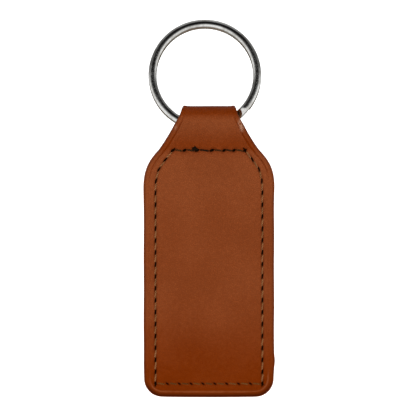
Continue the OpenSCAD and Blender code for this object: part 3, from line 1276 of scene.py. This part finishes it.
@dataclass
class EdgeBand:
    """The painted edge of the tag, which seals the two leathers and the board between them."""

    sizes: FobSizes
    finish: EdgePaintFinish
    stands_out: float = 0.14
    half_thick: float = 1.55
    sunk: float = 0.25
    side_steps: int = 150
    corner_steps: int = 14
    foot_steps: int = 20

    def path(self) -> list[tuple[Vector, Vector]]:
        """The tag's edge from the right of the neck round to the left.

        Returns:
            Points with the way out of the leather there.
        """
        s = self.sizes
        top, low = s.bend_at - 0.3, s.bottom + s.corner_r
        half, wider = s.half_at(low), s.half_at(low) - s.half_at(low, -1)
        right = [(s.half_at(z), z) for z in np.linspace(top, low, self.side_steps)]
        corner = arc((half - s.corner_r, low), s.corner_r, 0.0, -math.pi / 2, self.corner_steps)[1:]
        along_foot = np.linspace(corner[-1][0] - 0.5, 0.0, self.foot_steps)
        flat = [(x, s.bottom - s.sag * (1 - (abs(x) / s.sag_half) ** 2)) for x in along_foot]
        flat_left = [(-x, z) for x, z in reversed(flat[:-1])]
        left_corner = [(wider - x, z) for x, z in reversed(corner)]
        left = [(-s.half_at(z, -1), z) for z in np.linspace(low, top, self.side_steps)]
        run = [Vector((float(x), 0.0, float(z))) for x, z in [*right, *corner, *flat, *flat_left, *left_corner, *left]]
        out = []
        for i, p in enumerate(run):
            ahead = (run[min(i + 1, len(run) - 1)] - run[max(i - 1, 0)]).normalized()
            out.append((p, Vector((-ahead.z, 0.0, ahead.x)).normalized()))
        return out

    def build(self, effects: Effects) -> bpy.types.Object:
        """Builds the band and lets it bend at the neck.

        Args:
            effects: The shared shader groups.

        Returns:
            The piece.
        """
        bm = bmesh.new()
        made = bmesh.ops.create_circle(bm, cap_ends=True, radius=1.0, segments=20)
        for v in made["verts"]:
            x, y = v.co.x, v.co.y
            v.co.x = self.stands_out * math.sqrt(max(0.0, x)) if x > 0 else self.sunk * x
            v.co.y = self.half_thick * math.copysign(abs(y) ** 0.7, y)
        section = made["verts"][0].link_faces[0]
        path = self.path()
        places = []
        for i, (point, out) in enumerate(path):
            ahead = path[min(i + 1, len(path) - 1)][0] - path[max(i - 1, 0)][0]
            near_end = min(i, len(path) - 1 - i)
            size = 0.35 + 0.65 * smooth(0, 6, near_end)
            places.append(frame_at(point, ahead, out, size=size))
        sweep(bm, section, places)
        s = self.sizes
        obj = finish_mesh(bm, "edge_band", s.to_frame, self.finish.material(effects))
        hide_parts("edge_coat")
        return bend_at_neck(obj, s)


@dataclass
class Stitching:
    """One of the two threads of the lockstitch, seen on the front or the back."""

    sizes: FobSizes
    finish: TanThread
    face: Face
    thread_r: float = 0.21
    crown: float = 0.22
    slant: float = 0.14
    leg: float = 0.75
    rings: int = 15
    twists: float = 1.3
    tack_x: float = -3.7

    def stitch(self, bm: bmesh.types.BMesh, a: Point, b: Point, painted_light_tone: float, lift: float = 0.0, lean: float = 1.0,
               thick: float = 1.0) -> None:
        """Adds one stitch between two needle holes.

        Args:
            bm: The mesh.
            a: The hole it comes out of.
            b: The hole it goes into.
            painted_light_tone: Painted light on the thread: 0 for the shaded dark top row, 0.5 for brown, 1 for the lit
                tan sides.
            lift: Extra height of its crown.
            lean: Share of the usual slant.
            thick: Share of the usual thickness.
        """
        s = self.sizes
        run = Vector((b[0] - a[0], 0.0, b[1] - a[1]))
        ahead = run.normalized()
        out = Vector((0.0, float(self.face.value), 0.0))
        side = ahead.cross(out)
        start = Vector((a[0], out.y * s.face, a[1]))
        points: list[Vector] = []
        for i in range(self.rings):
            t = i / (self.rings - 1)
            u = 2 * t - 1
            along = 0.5 + 0.5 * math.copysign(abs(u) ** 0.8, u)
            inner = 0.17 + 0.66 * along
            height = -self.leg + (self.leg + self.crown + lift - self.thread_r) * (1 - abs(u) ** 5)
            sway = self.slant * lean * math.sin(math.pi / 2 * u)
            points.append(start + run * inner + out * height + side * sway)
        one = bmesh.new()
        ply_shading = one.verts.layers.float.new("ply_shading")
        painted_light_tones = one.verts.layers.float.new("painted_light_tone")
        made = bmesh.ops.create_circle(one, cap_ends=True, radius=self.thread_r * thick, segments=12)
        for v in made["verts"]:
            lobe = 0.5 + 0.5 * math.cos(3 * math.atan2(v.co.y, v.co.x))
            v.co *= 0.8 + 0.27 * lobe
            v[ply_shading] = lobe
            v[painted_light_tones] = painted_light_tone
        places = []
        for i, p in enumerate(points):
            way = points[min(i + 1, len(points) - 1)] - points[max(i - 1, 0)]
            places.append(frame_at(p, way, side, turn=self.twists * 2 * math.pi * i / (self.rings - 1)))
        sweep(one, made["verts"][0].link_faces[0], places)
        scratch = bpy.data.meshes.new("one_stitch")
        one.to_mesh(scratch)
        one.free()
        bm.from_mesh(scratch)
        bpy.data.meshes.remove(scratch)

    def back_tack(self, bm: bmesh.types.BMesh, holes: list[Point]) -> None:
        """Adds the few stitches sewn over each other where the seam starts and ends.

        Args:
            bm: The mesh.
            holes: The top row's needle holes.
        """
        z = holes[0][1]
        spot = self.tack_x
        for dx0, dz0, dx1, dz1, lift in (
            (-1.0, 0.0, 1.0, 0.45, 0.06),
            (-0.8, 0.7, 0.95, 0.1, 0.12),
            (-0.45, 1.15, 0.6, 0.15, 0.1),
            (-1.1, 0.3, 0.45, 1.05, 0.05),
        ):
            # The tacks take the top row's painted dark shade.
            self.stitch(bm, (spot + dx0, z + dz0), (spot + dx1, z + dz1), 0.0, lift=lift, lean=0.3, thick=1.5)

    def build(self, effects: Effects) -> bpy.types.Object:
        """Builds the thread and lets it bend with the leather.

        Args:
            effects: The shared shader groups.

        Returns:
            The piece.
        """
        bm = bmesh.new()
        bm.verts.layers.float.new("ply_shading")
        bm.verts.layers.float.new("painted_light_tone")
        rng = np.random.default_rng(7 if self.face is Face.FRONT else 8)
        rows = self.sizes.stitch_rows()
        for row, holes in rows:
            for a, b in zip(holes, holes[1:]):
                # Painted light on this row's thread, with a little random variation.
                painted_light_tone = min(1.0, max(0.0, row.value + float(rng.uniform(-0.15, 0.1))))
                lift, lean = float(rng.uniform(-0.03, 0.03)), float(rng.uniform(0.8, 1.2))
                self.stitch(bm, a, b, painted_light_tone, lift, lean, thick=1.15 if row is Row.TOP else 1.0)
        self.back_tack(bm, rows[0][1])
        front = self.face is Face.FRONT
        name = "front_stitches" if front else "back_stitches"
        material = self.finish.material(effects, f"{name}_finish")
        obj = finish_mesh(bm, name, self.sizes.to_frame, material)
        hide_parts("needle_thread" if front else "bobbin_thread")
        return bend_at_neck(obj, self.sizes)


@dataclass
class Board:
    """The stiffening board, which keeps its own shape and only gets its finish."""

    finish: FibreBoard

    def dress(self, effects: Effects) -> bpy.types.Object:
        """Gives the board its finish.

        Args:
            effects: The shared shader groups.

        Returns:
            The board.
        """
        obj = frame["nodes"]["stiffener_board"]
        obj.data.materials.clear()
        obj.data.materials.append(self.finish.material(effects))
        LOG.info("stiffener_board: %d faces", len(obj.data.polygons))
        return obj


@dataclass
class Studio:
    """A pale sweep behind the fob, soft lights, and the camera."""

    sizes: FobSizes
    distance: float = 0.6
    lens: float = 192.0
    eye: Point = (0.85, -48.7)
    light_size: float = 0.4
    aim: tuple[float, float, float] = (0.001, -0.003, -0.055)

    def sweep_floor(self) -> None:
        """Builds the pale floor, which curves up into a wall behind the fob."""
        bm = bmesh.new()
        made = bmesh.ops.create_grid(bm, x_segments=1, y_segments=1, size=1.0)
        bmesh.ops.scale(bm, vec=(1.6, 1.2, 1.0), verts=made["verts"])
        bmesh.ops.translate(bm, vec=(0.0, -0.5, -0.17), verts=made["verts"])
        edge = [e for e in bm.edges if all(v.co.y > 0.6 for v in e.verts)]
        curved = bmesh.ops.spin(
            bm, geom=[*edge, *edge[0].verts], cent=(0.0, 0.7, 0.13), axis=(1.0, 0.0, 0.0), angle=math.pi / 2, steps=24,
            use_merge=False, use_duplicate=False,
        )
        wall = [g for g in curved["geom_last"] if isinstance(g, bmesh.types.BMEdge)]
        raised = bmesh.ops.extrude_edge_only(bm, edges=wall)
        bmesh.ops.translate(
            bm, vec=(0.0, 0.0, 1.0), verts=[g for g in raised["geom"] if isinstance(g, bmesh.types.BMVert)]
        )
        for f in bm.faces:
            f.smooth = True
        mesh = bpy.data.meshes.new("pale_floor")
        bm.to_mesh(mesh)
        bm.free()
        material, n, shader = new_material("pale_floor_finish")
        shader.inputs["Base Color"].default_value = (0.9, 0.9, 0.9, 1.0)
        shader.inputs["Roughness"].default_value = 0.9
        shader.inputs["Emission Color"].default_value = (1.0, 1.0, 1.0, 1.0)
        shader.inputs["Emission Strength"].default_value = 1.0
        mesh.materials.append(material)
        obj = bpy.data.objects.new("pale_floor", mesh)
        bpy.context.scene.collection.objects.link(obj)
        obj.visible_glossy = False
        obj.visible_diffuse = False

    def ramp(
        self, n: Nodes, height: bpy.types.NodeSocket, stops: Sequence[tuple[float, Colour]]
    ) -> bpy.types.NodeSocket:
        """A colour that changes with height round the room.

        Args:
            n: The world's node helper.
            height: -1 straight down, 1 straight up.
            stops: Heights and colours.

        Returns:
            The colour.
        """
        node = n.add("ShaderNodeValToRGB", {0: n.span(height, -1.0, 1.0, soft=False)})
        node.color_ramp.elements.remove(node.color_ramp.elements[1])
        for i, (place, colour) in enumerate(stops):
            if i == 0:
                node.color_ramp.elements[0].position = (place + 1) / 2
            element = node.color_ramp.elements[0] if i == 0 else node.color_ramp.elements.new((place + 1) / 2)
            element.color = (*colour, 1.0)
        return node.outputs[0]

    def world(self) -> None:
        """Soft surroundings: a white band level with the camera, dark above it, grey overhead and behind."""
        world = bpy.data.worlds.new("studio_world")
        bpy.context.scene.world = world
        world.use_nodes = True
        world.node_tree.nodes.clear()
        n = Nodes(world.node_tree)
        way = n.add("ShaderNodeTexCoord").outputs["Generated"]
        parts = n.add("ShaderNodeSeparateXYZ", {0: way})

        def grey(value: float) -> Colour:
            """A neutral colour."""
            return value, value, value

        front = self.ramp(
            n, parts.outputs[2],
            ((-1.0, grey(0.3)), (-0.7, grey(0.7)), (-0.5, grey(1.0)), (0.14, grey(1.0)), (0.2, grey(0.6)),
             (0.27, grey(0.14)), (0.31, grey(0.015)), (0.5, grey(0.01)), (0.6, grey(0.2)), (1.0, grey(0.6))),
        )
        back = self.ramp(
            n, parts.outputs[2],
            ((-1.0, (0.4, 0.36, 0.3)), (-0.5, (0.14, 0.11, 0.07)), (-0.1, (0.12, 0.1, 0.06)), (0.1, grey(0.3)),
             (0.5, grey(0.7)), (1.0, grey(0.6))),
        )
        sides = self.ramp(
            n, parts.outputs[2],
            ((-1.0, grey(0.3)), (-0.5, grey(0.95)), (0.16, grey(1.0)), (0.28, grey(0.5)), (0.4, grey(0.15)),
             (0.6, grey(0.2)), (1.0, grey(0.4))),
        )
        front = n.mix(n.span(n.maths("ABSOLUTE", parts.outputs[0]), 0.12, 0.35), front, sides)
        room = n.mix(n.span(parts.outputs[1], -0.12, 0.12), front, back)
        camera = n.add("ShaderNodeLightPath").outputs["Is Camera Ray"]
        colour = n.mix(camera, room, (1.0, 1.0, 1.0))
        shade = n.add("ShaderNodeBackground", {"Color": colour, "Strength": 1.0})
        out = n.add("ShaderNodeOutputWorld")
        n.tree.links.new(shade.outputs[0], out.inputs[0])

    def light(self, name: str, place: tuple[float, float, float], power: float) -> None:
        """Adds a square soft light aimed at the fob, which glossy things don't mirror.

        Args:
            name: Its name.
            place: Where it stands, in metres.
            power: Its power in watts.
        """
        data = bpy.data.lights.new(name, "AREA")
        data.shape = "SQUARE"
        data.size = self.light_size
        data.energy = power
        lamp = bpy.data.objects.new(name, data)
        bpy.context.scene.collection.objects.link(lamp)
        lamp.location = place
        lamp.rotation_euler = (Vector(place) - Vector(self.aim)).to_track_quat("Z", "Y").to_euler()
        lamp.visible_glossy = False

    def build(self) -> None:
        """Sets up the floor, the lights, the world and the camera."""
        self.sweep_floor()
        self.world()
        self.light("left_light", (-0.45, -0.65, 0.12), 2.26)
        self.light("right_light", (0.5, -0.62, 0.04), 1.98)
        self.light("back_light", (-0.4, 0.58, 0.12), 2.2)
        self.light("back_fill", (0.5, 0.52, 0.04), 2.0)
        data = bpy.data.cameras.new("camera")
        data.lens = self.lens
        data.sensor_width = 36.0
        data.clip_start, data.clip_end = 0.01, 20.0
        camera = bpy.data.objects.new("camera", data)
        bpy.context.scene.collection.objects.link(camera)
        camera.location = (self.eye[0] * MM, self.sizes.centre.y * MM - self.distance, self.eye[1] * MM)
        camera.rotation_euler = (math.pi / 2, 0.0, 0.0)
        scene = bpy.context.scene
        scene.camera = camera
        scene.view_settings.view_transform = "Standard"
        scene.view_settings.look = "None"


def main() -> None:
    """Builds every piece, then the studio."""
    logging.basicConfig(level=logging.INFO, format="%(name)s %(message)s")
    sizes = FobSizes.from_frame()
    effects = Effects()
    pieces: list[Callable[[Effects], bpy.types.Object]] = [
        SplitRing(sizes, NickelSteel()).build,
        LeatherStrap(sizes, TanLeather()).build,
        EdgeBand(sizes, EdgePaintFinish()).build,
        Stitching(sizes, TanThread(), Face.FRONT).build,
        Stitching(sizes, TanThread(), Face.BACK).build,
        Board(FibreBoard()).dress,
    ]
    for make in pieces:
        LOG.info("made %s", make(effects).name)
    Studio(sizes).build()


if __name__ == "__main__":
    main()
